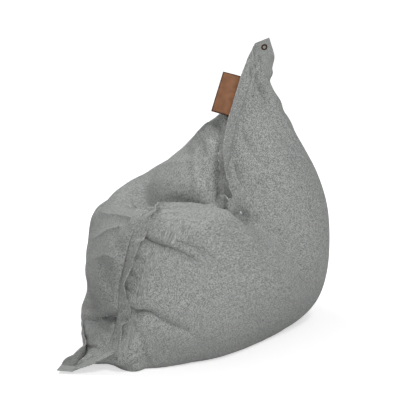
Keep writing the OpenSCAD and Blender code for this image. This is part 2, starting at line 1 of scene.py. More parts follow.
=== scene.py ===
import bpy
import numpy as np
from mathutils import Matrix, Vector


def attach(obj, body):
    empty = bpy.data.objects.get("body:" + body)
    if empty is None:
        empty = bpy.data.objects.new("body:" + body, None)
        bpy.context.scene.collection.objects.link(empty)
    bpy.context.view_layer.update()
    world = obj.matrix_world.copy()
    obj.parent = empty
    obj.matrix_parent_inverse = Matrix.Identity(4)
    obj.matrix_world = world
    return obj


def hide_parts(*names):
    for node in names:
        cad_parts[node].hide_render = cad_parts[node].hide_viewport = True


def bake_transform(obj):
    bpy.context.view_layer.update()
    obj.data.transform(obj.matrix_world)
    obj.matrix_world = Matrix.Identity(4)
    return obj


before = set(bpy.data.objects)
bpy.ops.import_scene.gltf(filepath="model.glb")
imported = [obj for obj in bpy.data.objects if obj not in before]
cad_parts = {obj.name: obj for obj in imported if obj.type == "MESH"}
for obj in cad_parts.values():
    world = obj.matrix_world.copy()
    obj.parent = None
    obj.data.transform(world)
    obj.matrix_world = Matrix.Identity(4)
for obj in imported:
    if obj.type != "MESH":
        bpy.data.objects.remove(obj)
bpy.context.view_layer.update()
scene = bpy.context.scene

# ---- Studio -----------------------------------------------------------------------------
# A long lens a little above the seat looks at the bag's near side. The floor and the
# backdrop are white to the camera, and the floor keeps a soft shadow: it glows less near the
# bag, where the lamps fall on it.
azimuth, elevation = np.radians(65), np.radians(14)
camera_distance, camera_lens = 4.30, 114.3
circled = Vector((0.16, 0.0, 0.48))     # the point that the camera stands round
looked_at = Vector((0.16, 0.0, 0.521))
sky_on_bag, sky_to_camera = 0.27, 1.0
glow_far, glow_near, glow_reach = 0.9, 0.5, 2.5     # the floor to the camera; reach in metres
away = Vector((np.sin(azimuth) * np.cos(elevation), -np.cos(azimuth) * np.cos(elevation),
               np.sin(elevation)))
camera = bpy.data.objects.new("camera", bpy.data.cameras.new("camera"))
camera.data.lens = camera_lens
camera.data.sensor_width = 36
camera.location = circled + camera_distance * away
camera.rotation_euler = (looked_at - camera.location).to_track_quat("-Z", "Y").to_euler()
scene.collection.objects.link(camera)
scene.camera = camera


def lamp(name, place, size, power, target=(0.1, 0.0, 0.45)):
    """A square soft box of that side and power at place, turned to the bag."""
    light = bpy.data.objects.new(name, bpy.data.lights.new(name, "AREA"))
    light.data.size = size
    light.data.energy = power
    light.location = place
    light.rotation_euler = (Vector(target) - Vector(place)).to_track_quat("-Z", "Y").to_euler()
    scene.collection.objects.link(light)


lamp("key", (2.6, 0.3, 3.4), 0.7, 48)
lamp("back", (-0.9, -0.5, 3.6), 1.0, 60)
lamp("fill", (3.9, -0.8, 0.6), 1.4, 38)

world = bpy.data.worlds.new("studio")
scene.world = world
world.use_nodes = True
sky = world.node_tree.nodes
sky_seen = sky.new("ShaderNodeLightPath")
strength = sky.new("ShaderNodeMix")
strength.data_type = "FLOAT"
strength.inputs[2].default_value = sky_on_bag
strength.inputs[3].default_value = sky_to_camera
world.node_tree.links.new(sky_seen.outputs["Is Camera Ray"], strength.inputs[0])
world.node_tree.links.new(strength.outputs[0], sky["Background"].inputs["Strength"])
sky["Background"].inputs["Color"].default_value = (1, 1, 1, 1)

floor_data = bpy.data.meshes.new("floor")
floor_data.from_pydata([(-30, -30, 0), (30, -30, 0), (30, 30, 0), (-30, 30, 0)], [], [(0, 1, 2, 3)])
floor = bpy.data.objects.new("floor", floor_data)
scene.collection.objects.link(floor)
floor_paint = bpy.data.materials.new("floor_white")
floor_paint.use_nodes = True
floor_nodes = floor_paint.node_tree.nodes
floor_nodes.clear()
matte = floor_nodes.new("ShaderNodeBsdfDiffuse")
matte.inputs["Color"].default_value = (0.8, 0.8, 0.8, 1)
glow = floor_nodes.new("ShaderNodeEmission")
seen = floor_nodes.new("ShaderNodeLightPath")
lift = floor_nodes.new("ShaderNodeMath")
lift.operation = "MULTIPLY"
around = floor_nodes.new("ShaderNodeTexCoord")
shrunk = floor_nodes.new("ShaderNodeMapping")
shrunk.inputs["Scale"].default_value = [1 / glow_reach] * 3
nearness = floor_nodes.new("ShaderNodeTexGradient")
nearness.gradient_type = "SPHERICAL"
share = floor_nodes.new("ShaderNodeMapRange")
share.inputs[3].default_value = glow_far
share.inputs[4].default_value = glow_near
both = floor_nodes.new("ShaderNodeAddShader")
floor_out = floor_nodes.new("ShaderNodeOutputMaterial")
for start, end in ((seen.outputs["Is Camera Ray"], lift.inputs[0]),
                   (around.outputs["Object"], shrunk.inputs["Vector"]),
                   (shrunk.outputs[0], nearness.inputs["Vector"]),
                   (nearness.outputs["Fac"], share.inputs["Value"]),
                   (share.outputs[0], lift.inputs[1]),
                   (lift.outputs[0], glow.inputs["Strength"]),
                   (matte.outputs[0], both.inputs[0]), (glow.outputs[0], both.inputs[1]),
                   (both.outputs[0], floor_out.inputs["Surface"])):
    floor_paint.node_tree.links.new(start, end)
floor_data.materials.append(floor_paint)
scene.view_settings.view_transform = "Standard"

# ---- Form of the filled bag --------------------------------------------------------------
# Two four-sided panels are sewn edge to edge and pushed out by the beads. Rails run along the
# bag from the back edge to the front edge, in centimetres, and the edges run from the near
# seam, beside the camera, to the far one.
back_edge = [[12.5, 23.8, 99], [13, 27.5, 89], [8.5, 34.5, 78], [-1, 41.5, 67],
             [-11, 46, 59], [-21, 45.5, 52], [-31, 42, 46]]
front_edge = [[19, -46.5, 1], [12, -41, 1], [3, -38, 1], [-6, -35, 1],
              [-14, -31.5, 1], [-20, -28.5, 1], [-26, -25, 1]]
near_seam = [[14.5, 19, 89], [17.5, 13.5, 79], [21, 9, 69], [23, 6, 59.5], [26, 3.5, 50.5],
             [28, -9, 53], [29, -25, 53], [29, -30.5, 45], [26, -33.5, 28],
             [25, -34, 18], [24, -37.5, 8]]
seat_near = [[9, 20.5, 86], [11, 12, 76.5], [14, 5, 66.5], [16, -1, 56.5], [18, -4, 45.5],
             [17, -12, 44], [18, -22, 49.5], [18, -31, 42], [16, -35, 27], [15, -33, 17],
             [15, -35.5, 8]]
seat_middle = [[3, 23, 81.5], [3, 12.5, 75], [5, 4.5, 65], [6, -4, 54.5], [6, -8, 42.5],
               [4, -14, 40], [4, -21, 46.5], [4, -29, 40], [4, -33.8, 26], [4, -31.5, 16.5],
               [4, -34.3, 8]]
seat_far = [[-4, 26, 76], [-5, 15, 73.5], [-6, 6.5, 65], [-8, -3, 55], [-9, -7, 44.5],
            [-11, -12.5, 42], [-10, -18.5, 45], [-10, -25.5, 38.5], [-9, -30.8, 25],
            [-8, -29, 16], [-8, -31.3, 8]]
far_crest = [[-13, 30, 67], [-16, 17, 66.5], [-20, 11, 60.5], [-24, 3, 55], [-25, -3, 51],
             [-25, -9, 48], [-23, -15.5, 45], [-22, -21.5, 37.5], [-20, -26.5, 25],
             [-18, -26.5, 16], [-17, -29.5, 8]]
far_side = [[-24, 35, 59], [-29, 22, 57.5], [-32, 16, 55.5], [-35, 8, 51.5], [-36, 2, 48.5],
            [-36, -5, 46], [-34, -12, 42.5], [-32, -18, 36], [-29, -23, 24], [-26, -24, 16],
            [-24, -26, 8]]
far_seam = [[-35, 37, 45], [-39, 29, 43.5], [-42, 20, 42.5], [-43, 12, 41.5], [-43.5, 4, 40.5],
            [-43, -4, 39], [-41, -11, 36.5], [-39, -16, 33.5], [-36, -21, 23.5],
            [-33, -22, 15.5], [-29.5, -23, 8]]
base_far = [[-26, 46, 41], [-27, 44, 33], [-28, 41, 22], [-29, 36, 11], [-29, 27, 3],
            [-28, 14, 0], [-29, -1, 0], [-30, -9, 0], [-29, -14, 0], [-27, -18, 0],
            [-25, -22, 0]]
base_middle = [[-13, 49, 49], [-10, 51.5, 40], [-9, 52.3, 27], [-6, 50, 13], [-4, 42.5, 3],
               [-3, 23, 0], [0, 3, 0], [0, -10, 0], [0, -17, 0], [0, -22, 0], [0, -27.5, 0]]
base_near = [[-1, 45.8, 58], [4, 50.2, 48], [7, 52.5, 35], [11, 50.8, 18], [11.5, 45, 7],
             [16.5, 26, 0], [26, 4, 0], [27, -10, 0], [26.5, -19, 0], [25, -25, 0],
             [22.5, -31.5, 0]]
side_low = [[9, 39.8, 68], [16, 43, 58], [22, 43.5, 46], [26, 39.8, 33], [28, 31.5, 26],
            [34, 16, 24], [38.7, 2, 22], [37.5, -10, 17], [32.5, -20, 9], [29.5, -25, 6],
            [26.5, -31.5, 2.5]]
side_high = [[16, 29.5, 80], [22.5, 28, 69], [27.5, 26, 58], [29.5, 22, 47], [29, 15, 42.5],
             [33.5, 3, 48], [37, -9, 45], [36, -20, 38], [34, -27, 23], [31, -29, 13],
             [28, -34, 5]]
centimetre = 0.01


def curve(points, t):
    """Catmull-Rom curve through points along their first axis; t counts the points passed.
    It is half the sum of twice the point just passed, the span between its two neighbours
    times the share passed, and terms in that share's square and cube that meet the next span."""
    points = np.asarray(points, float)
    t = np.clip(np.asarray(t, float), 0, len(points) - 1)
    p = np.concatenate([2 * points[:1] - points[1:2], points, 2 * points[-1:] - points[-2:-1]])
    i = np.minimum(t.astype(int), len(points) - 2)
    f = (t - i).reshape(-1, *[1] * (points.ndim - 1))
    a, b, c, d = (p[i + k] for k in range(4))
    return 0.5 * (2 * b + (c - a) * f + (2 * a - 5 * b + 4 * c - d) * f**2
                  + (3 * b - 3 * c + d - a) * f**3)


def rails(inner):
    """The seven rails of a panel as an array of stations by rails by coordinates."""
    lines = [near_seam, *inner, far_seam]
    return centimetre * np.array([[back_edge[k], *line, front_edge[k]]
                                  for k, line in enumerate(lines)], float).swapaxes(0, 1)


seat_rails = rails([seat_near, seat_middle, seat_far, far_crest, far_side])
base_rails = rails([side_high, side_low, base_near, base_middle, base_far])
last_station = len(seat_rails) - 1
last_rail = seat_rails.shape[1] - 1


def surface(lines, us, vs):
    """Points of a panel at stations us and columns vs: curves along the rails, then across."""
    along = curve(lines, us)
    across = curve(along.swapaxes(0, 1), vs).swapaxes(0, 1)
    across[..., 2] = np.maximum(across[..., 2], 0.0)
    return across


def normals(grid):
    """Unit normals of a grid, from the cross product of its two directions."""
    n = np.cross(np.gradient(grid, axis=1), np.gradient(grid, axis=0))
    return n / np.maximum(np.linalg.norm(n, axis=-1, keepdims=True), 1e-12)


def cloth_lengths(grid):
    """Distance along the cloth at each point, across and along, from the first row and column."""
    def run(axis):
        step = np.linalg.norm(np.diff(grid, axis=axis), axis=-1)
        return np.insert(np.cumsum(step, axis=axis), 0, 0, axis=axis)
    return np.stack([run(1), run(0)], -1)


def quads(rows, columns, closed_rows=False, closed_columns=False):
    """Corner numbers of the quads of a grid stored row by row."""
    i, j = np.meshgrid(np.arange(rows if closed_rows else rows - 1),
                       np.arange(columns if closed_columns else columns - 1), indexing="ij")
    down, right = (i + 1) % rows, (j + 1) % columns
    return np.stack([i * columns + j, i * columns + right, down * columns + right,
                     down * columns + j], -1).reshape(-1, 4)


def piece(name, points, faces, uv=None):
    """A smooth-shaded mesh object from arrays of points and quads, with a UV map in metres."""
    data = bpy.data.meshes.new(name)
    points = np.ascontiguousarray(points.reshape(-1, 3), np.float32)
    data.vertices.add(len(points))
    data.vertices.foreach_set("co", points.ravel())
    data.loops.add(faces.size)
    data.loops.foreach_set("vertex_index", faces.ravel().astype(np.int32))
    data.polygons.add(len(faces))
    data.polygons.foreach_set("loop_start",
                              np.arange(0, faces.size, faces.shape[1], dtype=np.int32))
    data.update(calc_edges=True)
    data.polygons.foreach_set("use_smooth", np.ones(len(faces), bool))
    if uv is not None:
        layer = data.uv_layers.new(name="cloth")
        layer.data.foreach_set("uv", uv.reshape(-1, 2)[faces.ravel()].astype(np.float32).ravel())
    data.validate()
    obj = bpy.data.objects.new(name, data)
    scene.collection.objects.link(obj)
    return obj


# ---- Cover cloth -------------------------------------------------------------------------
# A hard-wearing woven polyester. Light and dark grey yarns are spun together, so the weave
# looks flecked; it is matte, with a fine bump from the crossing threads.


class Finish:
    """A node material while it is made. node() adds any node and wraps its output."""

    def __init__(self, name):
        self.material = bpy.data.materials.new(name)
        self.material.use_nodes = True
        self.tree = self.material.node_tree
        self.tree.nodes.clear()
        self.out = self.tree.nodes.new("ShaderNodeOutputMaterial")

    def node(self, kind, settings=None, sockets=None, output=0):
        """A shader node of that kind with its settings and the values of its inputs."""
        made = self.tree.nodes.new("ShaderNode" + kind)
        for key, value in (settings or {}).items():
            setattr(made, key, value)
        for key, value in (sockets or {}).items():
            self.put(made.inputs[key], value)
        return Signal(self, made.outputs[output], made)

    def put(self, socket, value):
        """Links a signal to an input, or sets the input to a plain value."""
        if isinstance(value, Signal):
            self.tree.links.new(value.socket, socket)
        elif isinstance(value, tuple) and socket.type == "RGBA":
            socket.default_value = (*value, 1.0)
        else:
            socket.default_value = value

    def ramp(self, signal, stops):
        """The signal as a colour between stops, each a place from 0 to 1 and a colour."""
        made = self.node("ValToRGB", sockets={"Fac": signal})
        ramp = made.node.color_ramp
        while len(ramp.elements) < len(stops):
            ramp.elements.new(0.5)
        for element, (place, colour) in zip(ramp.elements, stops):
            element.position = place
            element.color = (*colour, 1.0)
        return made

    def blend(self, share, first, second):
        """The first colour where share is 0 and the second where it is 1."""
        return self.node("Mix", {"data_type": "RGBA"}, {0: share, 6: first, 7: second}, 2)

    def surface(self, **sockets):
        """Ends the material with a principled surface and returns it."""
        named = {key.replace("_", " "): value for key, value in sockets.items()}
        self.put(self.out.inputs["Surface"], self.node("BsdfPrincipled", None, named))
        return self.material


class Signal:
    """A number or a colour at each point of a surface. Its sums and products are Math nodes."""

    def __init__(self, finish, socket, node):
        self.finish, self.socket, self.node = finish, socket, node

    def math(self, kind, *values):
        """A Math node of that kind on the values, in their order."""
        return self.finish.node("Math", {"operation": kind}, dict(enumerate(values)))

    def __add__(self, other):
        return self.math("ADD", self, other)

    def __mul__(self, other):
        return self.math("MULTIPLY", self, other)

    __radd__ = __add__
    __rmul__ = __mul__


def srgb(*levels):
    """A linear colour from its red, green and blue sRGB levels of 0 to 255."""
    return tuple((v / 255 / 12.92) if v <= 10 else ((v / 255 + 0.055) / 1.055) ** 2.4
                 for v in levels)


def grey(level):
    """A linear grey from an sRGB level of 0 to 255, a touch greener than neutral."""
    return srgb(level - 1, level + 1.5, level - 1)


def cloth_finish(name, dark, light, mapped=True):
    """Melange weave on the cloth's own UV map, or on flat sewn pieces in place: two crossing
    yarns, flecked along their length, with slow tone changes and a bump from the threads."""
    finish = Finish(name)
    cloth = (finish.node("UVMap", {"uv_map": "cloth"}) if mapped
             else finish.node("TexCoord", output="Object"))

    def flecks(stretch):
        placed = finish.node("Mapping", None, {"Vector": cloth, "Scale": stretch})
        return finish.node("TexVoronoi", {"voronoi_dimensions": "2D"},
                           {"Vector": placed, "Scale": 1.0}, "Color")

    per_yarn, along_yarn = 850, 330     # flecks to a metre of cloth
    across = flecks((along_yarn, per_yarn, 1))
    along = flecks((per_yarn, along_yarn, 1))
    blotches = finish.node("TexNoise", None, {"Vector": cloth, "Scale": 60, "Detail": 2})
    warp, weft = (
        finish.node("TexWave", {"wave_type": "BANDS", "bands_direction": axis},
                    {"Vector": cloth, "Scale": 190, "Distortion": 0.6, "Detail": 1})
        for axis in "XY")
    mottle = across * 0.48 + along * 0.48 + blotches * 0.04
    tone = finish.node("MapRange", None, {"Value": mottle, 1: 0.24, 2: 0.76, 3: 0.0, 4: 1.0})
    shade = tone * 0.86 + warp * 0.07 + weft * 0.07
    colour = finish.ramp(shade, [(0.0, dark), (1.0, light)])
    relief = warp * weft + mottle * 0.2
    bump = finish.node("Bump", None, {"Height": relief, "Strength": 0.25, "Distance": 0.0008})
    return finish.surface(Base_Color=colour, Roughness=0.92, Normal=bump,
                          Specular_IOR_Level=0.12, Sheen_Weight=0.12, Sheen_Roughness=0.5)


cover_cloth = cloth_finish("cover_cloth", grey(82), grey(198))

# ---- Cover panels ------------------------------------------------------------------------
# The seat panel is sat on and leaned against; the base panel is behind and below it. The base
# panel is closed here: the slot over the zip is in its solid alone. Lengths are in metres, and
# swell_edge and seam_roll_width count stations or rails in from the seam.
sim_us = np.linspace(0, last_station, 181)
sim_vs = np.linspace(0, last_rail, 97)
filling_frames = 20
slow_passes, fine_passes = 60, 3
wrinkle_depth = 0.0045
swell, swell_edge = 0.008, 1.1
seam_roll, seam_roll_width = 0.009, 0.06


def filled_out():
    """The wrinkles of each filled panel, as two grids of vectors. The two panels are joined at
    the seam, their cloth is a little larger than the form, and a short cloth simulation under
    pressure lets it billow; of that only the wrinkles are kept."""
    seat_grid, base_grid = (surface(lines, sim_us, sim_vs) for lines in (seat_rails, base_rails))
    rows, columns = seat_grid.shape[:2]
    number = np.arange(rows * columns).reshape(rows, columns)
    inner = np.zeros((rows, columns), bool)
    inner[1:-1, 1:-1] = True
    below = number.copy()
    below[inner] = rows * columns + np.arange(inner.sum())
    points = np.concatenate([seat_grid.reshape(-1, 3), base_grid[inner]])
    faces = np.concatenate([number.ravel()[quads(rows, columns)],
                            below.ravel()[quads(rows, columns)[:, ::-1]]])
    bag = piece("bag_before_filling", points, faces)
    held = bag.vertex_groups.new(name="seam")
    held.add([int(k) for k in number[~inner]], 1.0, "REPLACE")
    cloth = bag.modifiers.new("fill", "CLOTH")
    cloth.settings.vertex_group_mass = "seam"
    cloth.settings.quality = 5
    cloth.settings.mass = 0.3
    cloth.settings.tension_stiffness = 20
    cloth.settings.compression_stiffness = 20
    cloth.settings.shear_stiffness = 8
    cloth.settings.bending_stiffness = 0.6
    cloth.settings.shrink_min = -0.03
    cloth.settings.use_pressure = True
    cloth.settings.uniform_pressure_force = 4
    cloth.settings.effector_weights.gravity = 0
    cloth.point_cache.frame_end = filling_frames
    for frame_number in range(1, filling_frames + 1):
        scene.frame_set(frame_number)
    ready = bag.evaluated_get(bpy.context.evaluated_depsgraph_get()).data
    moved = np.empty(len(points) * 3)
    ready.vertices.foreach_get("co", moved)
    push = moved.reshape(-1, 3) - points
    bpy.data.objects.remove(bag)
    scene.frame_set(1)
    return [wrinkles_of(push[numbers]) for numbers in (number, below)]


def smoothed(grid, passes):
    """A grid of vectors after that many passes of a 1-2-1 average both ways, its edges kept."""
    for _ in range(passes):
        grid = grid.copy()
        grid[1:-1] = (grid[:-2] + 2 * grid[1:-1] + grid[2:]) / 4
        grid[:, 1:-1] = (grid[:, :-2] + 2 * grid[:, 1:-1] + grid[:, 2:]) / 4
    return grid


def wrinkles_of(push):
    """What is left of a push when its slow part is taken away, smoothed a little, and at most
    wrinkle_depth."""
    quick = smoothed(push - smoothed(push, slow_passes), fine_passes)
    size = np.linalg.norm(quick, axis=-1, keepdims=True)
    return quick * np.minimum(1, wrinkle_depth / np.maximum(size, 1e-9))


seat_push, base_push = filled_out()


def eased(t, spans):
    """Rises from 0 at both ends to 1 within swell_edge of them."""
    d = np.minimum(1, np.minimum(t, spans - t) / swell_edge)
    return d * (2 - d)


def filled(lines, push, us, vs):
    """A panel's surface swollen between its seams, with its wrinkles, never below the floor."""
    rows = us * (len(sim_us) - 1) / last_station
    columns = vs * (len(sim_vs) - 1) / last_rail
    grid = surface(lines, us, vs)
    side = 1 if lines is seat_rails else -1
    full = swell * eased(us, last_station)[:, None] * eased(vs, last_rail)[None]
    in_from_seam = np.minimum(np.minimum(us, last_station - us)[:, None],
                              np.minimum(vs, last_rail - vs)[None])
    full += seam_roll * (1 - np.exp(-in_from_seam / seam_roll_width))
    grid += side * full[..., None] * normals(grid)
    grid += curve(curve(push, rows).swapaxes(0, 1), columns).swapaxes(0, 1)
    grid[..., 2] = np.maximum(grid[..., 2], 0.0)
    return grid


# Folds that the sitter and the sewing leave in the cloth: height in millimetres, negative for
# a crease, half width in millimetres, and a path of (station, rail) from its root to its tip.
fold_reach = 0.008      # metres from a fold's line for each millimetre of its half width
sharp_share, bell_share, bell_width = 0.7, 0.3, 3
drawn_share, drawn_width = 0.6, 0.018
let_go_share = 0.02     # the part of a grid beside its edges over which its folds fade
seat_folds = [(24, 8, [(1.9, 0.7), (2.1, 1.7), (2.6, 2.5), (2.9, 2.9)]),
              (-16, 14, [(1.5, 0.9), (1.7, 1.9), (2.2, 2.7)]),
              (5, 10, [(5.1, 4.1), (4.2, 3.8), (3.6, 3.0), (3.3, 2.0), (3.2, 1.1), (2.9, 0.4)]),
              (10, 11, [(6.9, 0.1), (6.6, 1.8), (6.4, 3.6)]),
              (14, 9, [(7.4, 0.5), (7.4, 1.9), (7.6, 3.3), (7.7, 5.0)]),
              (14, 9, [(7.7, 0.9), (7.9, 1.6), (8.2, 2.5), (8.8, 5.3)]),
              (9, 9, [(8.4, 0.3), (8.4, 1.1), (8.9, 3.2)]),
              (-36, 8, [(10.0, 0.0), (10.0, 0.2), (10.2, 1.1), (10.7, 2.0), (11.5, 3.4)]),
              (-5, 6, [(10.2, 0.4), (10.4, 0.5), (10.7, 0.6)]),
              (-30, 16, [(4.5, 0.22), (3.6, 0.38), (2.9, 0.62), (2.3, 1.0), (1.9, 1.5)])]
base_folds = [(-32, 7, [(7.8, 0.1), (7.8, 0.7), (7.6, 1.1), (7.4, 1.3), (7.1, 1.5)]),
              (-18, 9, [(7.5, 0.8), (7.3, 1.1), (7.0, 1.4), (6.8, 1.6), (6.3, 1.9)]),
              (-32, 7, [(9.3, 0.1), (9.3, 0.6), (9.0, 1.1), (8.7, 1.6), (8.4, 1.9), (8.2, 2.2)]),
              (-10, 8, [(8.3, 0.1), (8.3, 0.6)]),
              (-10, 8, [(8.6, 0.1), (8.6, 0.6)]),
              (-10, 8, [(8.9, 0.1), (8.9, 0.7)]),
              (-14, 16, [(0.9, 0.2), (1.2, 0.5), (1.6, 0.8), (2.0, 1.1), (2.6, 1.4)]),
              (-15, 8, [(2.3, 0.1), (2.6, 0.3), (2.8, 0.4), (2.9, 0.6), (2.7, 0.9)]),
              (-15, 10, [(3.4, 0.1), (3.7, 0.2), (3.8, 0.3)]),
              (-10, 14, [(4.7, 0.4), (4.6, 0.9), (4.6, 1.5), (4.7, 2.3)]),
              (-40, 9, [(4.9, 0.3), (4.9, 0.5), (4.9, 0.7)]),
              (-12, 9, [(9.9, 0.1), (9.5, 0.6), (9.3, 1.0)]),
              (-12, 5, [(0.5, 0.05), (0.67, 0.12), (0.95, 0.4), (1.3, 0.78), (1.8, 1.2)]),
              (8, 12, [(0.6, 0.45), (0.95, 0.75), (1.5, 1.3), (2.2, 1.9)]),
              (-10, 4, [(0.12, 0.12), (0.23, 0.28), (0.35, 0.45)])]


def folded(grid, side, folds, us, vs):
    """The grid with its folds. Cloth is drawn in towards a fold's line, by drawn_share at the
    line and less further off. The fold's height falls off on both sides as a sharp exponential
    plus a soft bell bell_width times as wide, and along its path as one minus the square of the
    share passed. The grid's edges stay in place."""
    rows, columns = grid.shape[:2]
    i, j = np.arange(rows), np.arange(columns)
    along = np.minimum(i, rows - 1 - i)[:, None] / rows
    across = np.minimum(j, columns - 1 - j) / columns
    let_go = np.minimum(1, np.minimum(along, across) / let_go_share)
    normal = side * normals(grid)
    grid = grid.copy()
    lift = np.zeros((rows, columns))
    share = np.linspace(0, 1, 120)
    for height, wide, path in folds:
        u, v = curve(path, share * (len(path) - 1)).T
        i, j = np.interp(u, us, np.arange(rows)), np.interp(v, vs, np.arange(columns))
        a, b = i.astype(int).clip(0, rows - 2), j.astype(int).clip(0, columns - 2)
        f, g = (i - a)[:, None], (j - b)[:, None]
        line = ((grid[a, b] * (1 - f) + grid[a + 1, b] * f) * (1 - g)
                + (grid[a, b + 1] * (1 - f) + grid[a + 1, b + 1] * f) * g)
        near = ((grid > line.min(0) - fold_reach * wide)
                & (grid < line.max(0) + fold_reach * wide)).all(-1)
        apart = np.linalg.norm(grid[near][:, None] - line, axis=-1)
        nearest = apart.argmin(1)
        fades = (1 - share[nearest] ** 2) * let_go[near]
        drawn_in = drawn_share * fades * np.exp(-(apart.min(1) / drawn_width) ** 2)
        grid[near] += drawn_in[:, None] * (line[nearest] - grid[near])
        s = apart.min(1) * (1 - drawn_in) * 1000 / wide
        form = sharp_share * np.exp(-s) + bell_share * np.exp(-(s / bell_width) ** 2)
        lift[near] += 0.001 * height * form * fades
    grid = grid + lift[..., None] * normal
    grid[..., 2] = np.maximum(grid[..., 2], 0.0)
    return grid


def panel(name, lines, push, folds, us, vs, outwards, node):
    """One cover panel, with its wrinkles and folds. outwards is 1 where the grid's normals
    leave the bag and -1 where they enter it. The panel replaces the named node."""
    grid = folded(filled(lines, push, us, vs), outwards, folds, us, vs)
    faces = quads(len(us), len(vs))
    if outwards < 0:
        faces = faces[:, ::-1]
    made = piece(name, grid, faces, cloth_lengths(grid))
    made.data.materials.append(cover_cloth)
    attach(made, "bag")
    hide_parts(node)
    return made


crowding = 1.25     # above 1, columns stand closer together towards the near seam
panel_us = np.linspace(0, last_station, 450)
panel_vs = last_rail * np.linspace(0, 1, 215) ** crowding
seat_panel = panel("seat_panel", seat_rails, seat_push, seat_folds, panel_us, panel_vs, 1,
                   "cover_seat_panel")
base_panel = panel("base_panel", base_rails, base_push, base_folds, panel_us, panel_vs, -1,
                   "cover_base_panel")

# ---- Liner and beads -----------------------------------------------------------------------
# A white non-woven inner bag holds the beads, so that the cover comes off for washing. Both
# follow the cover's form, are kept inside it, and end short of its thin edges and corners.
inner_us = np.linspace(1.2, last_station - 0.9, 181)
inner_vs = np.linspace(0.55, last_rail - 0.5, 97)
closing_us, closing_vs = 0.9, 0.6       # stations and rails over which the two sides part
liner_depth, liner_gap = 0.03, 0.003
beads_depth, beads_gap = 0.038, 0.005
most_of_thickness = 0.45


def inside(depth):
    """The two panels moved inwards along their normals by depth, or by less than half of the
    bag's thickness where it is thin; along their edges they run together."""
    top, under = (surface(lines, inner_us, inner_vs) for lines in (seat_rails, base_rails))
    middle, chord = (top + under) / 2, under - top
    across = np.minimum(inner_vs - inner_vs[0], inner_vs[-1] - inner_vs) / closing_vs
    along = np.minimum(inner_us - inner_us[0], inner_us[-1] - inner_us) / closing_us
    edge = np.clip(np.minimum(along[:, None], across[None, :]), 0, 1)
    kept = np.sqrt(edge * (2 - edge))[..., None]
    drawn = []
    for grid, inwards in ((top, -normals(top)), (under, normals(under))):
        thick = np.abs((chord * inwards).sum(-1, keepdims=True))
        moved = grid + inwards * np.minimum(depth, most_of_thickness * thick)
        drawn.append(middle + kept * (moved - middle))
    return drawn


def plain_finish(name, colour, roughness, relief, pattern, scale, **more):
    """A material of one colour with a fine bump from a noise, Voronoi or wave pattern."""
    finish = Finish(name)
    place = finish.node("TexCoord", output="Object")
    bumps = finish.node(pattern, None, {"Vector": place, "Scale": scale})
    bump = finish.node("Bump", None, {"Height": bumps, "Strength": 0.5, "Distance": relief})
    return finish.surface(Base_Color=colour, Roughness=roughness, Normal=bump, **more)


liner_white = plain_finish("liner_cloth", grey(236), 0.8, 0.0004, "TexNoise", 900)
bead_white = plain_finish("beads", grey(243), 0.6, 0.002, "TexVoronoi", 260)


def points_and_quads(obj):
    """The points and the quads of a mesh object, as two arrays."""
    points = np.empty(len(obj.data.vertices) * 3)
    faces = np.empty(len(obj.data.loops), np.int32)
    obj.data.vertices.foreach_get("co", points)
    obj.data.loops.foreach_get("vertex_index", faces)
    return points.reshape(-1, 3), faces.reshape(-1, 4)


seat_points, seat_quads = points_and_quads(seat_panel)
base_points, base_quads = points_and_quads(base_panel)
cover_form = piece("cover_form", np.concatenate([seat_points, base_points]),
                   np.concatenate([seat_quads, base_quads + len(seat_points)]))


def kept_inside(obj, gap):
    """Draws any point that comes within gap of the cover, or leaves it, back inside, and
    keeps it that far off the floor."""
    wrap = obj.modifiers.new("inside", "SHRINKWRAP")
    wrap.target = cover_form
    wrap.wrap_method = "NEAREST_SURFACEPOINT"
    wrap.wrap_mode = "INSIDE"
    wrap.offset = gap
    data = bpy.data.meshes.new_from_object(obj.evaluated_get(
        bpy.context.evaluated_depsgraph_get()))
    obj.modifiers.clear()
    obj.data = data
    points = np.empty(3 * len(data.vertices))
    data.vertices.foreach_get("co", points)
    points[2::3] = np.maximum(points[2::3], gap)
    data.vertices.foreach_set("co", points)


liner_seat, liner_base = inside(liner_depth)
for name, grid, turned in (("liner_seat_panel", liner_seat, 1),
                           ("liner_base_panel", liner_base, -1)):
    cloth_piece = piece(name.replace("liner_", "inner_"), grid,
                        quads(*grid.shape[:2])[:, ::turned])
    kept_inside(cloth_piece, liner_gap)
    cloth_piece.data.materials.append(liner_white)
    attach(cloth_piece, "bag")
    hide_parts(name)
beads_top, beads_under = inside(beads_depth)
rows, columns = beads_top.shape[:2]
top_number = np.arange(rows * columns).reshape(rows, columns)
under_number = top_number.copy()
under_number[1:-1, 1:-1] = rows * columns + np.arange((rows - 2) * (columns - 2)).reshape(
    rows - 2, columns - 2)
beads = piece("beads", np.concatenate([beads_top.reshape(-1, 3),
                                       beads_under[1:-1, 1:-1].reshape(-1, 3)]),
              np.concatenate([top_number.ravel()[quads(rows, columns)],
                              under_number.ravel()[quads(rows, columns)[:, ::-1]]]))
kept_inside(beads, beads_gap)
bpy.data.objects.remove(cover_form)
beads.data.materials.append(bead_white)
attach(beads, "bag")
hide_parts("bead_fill")

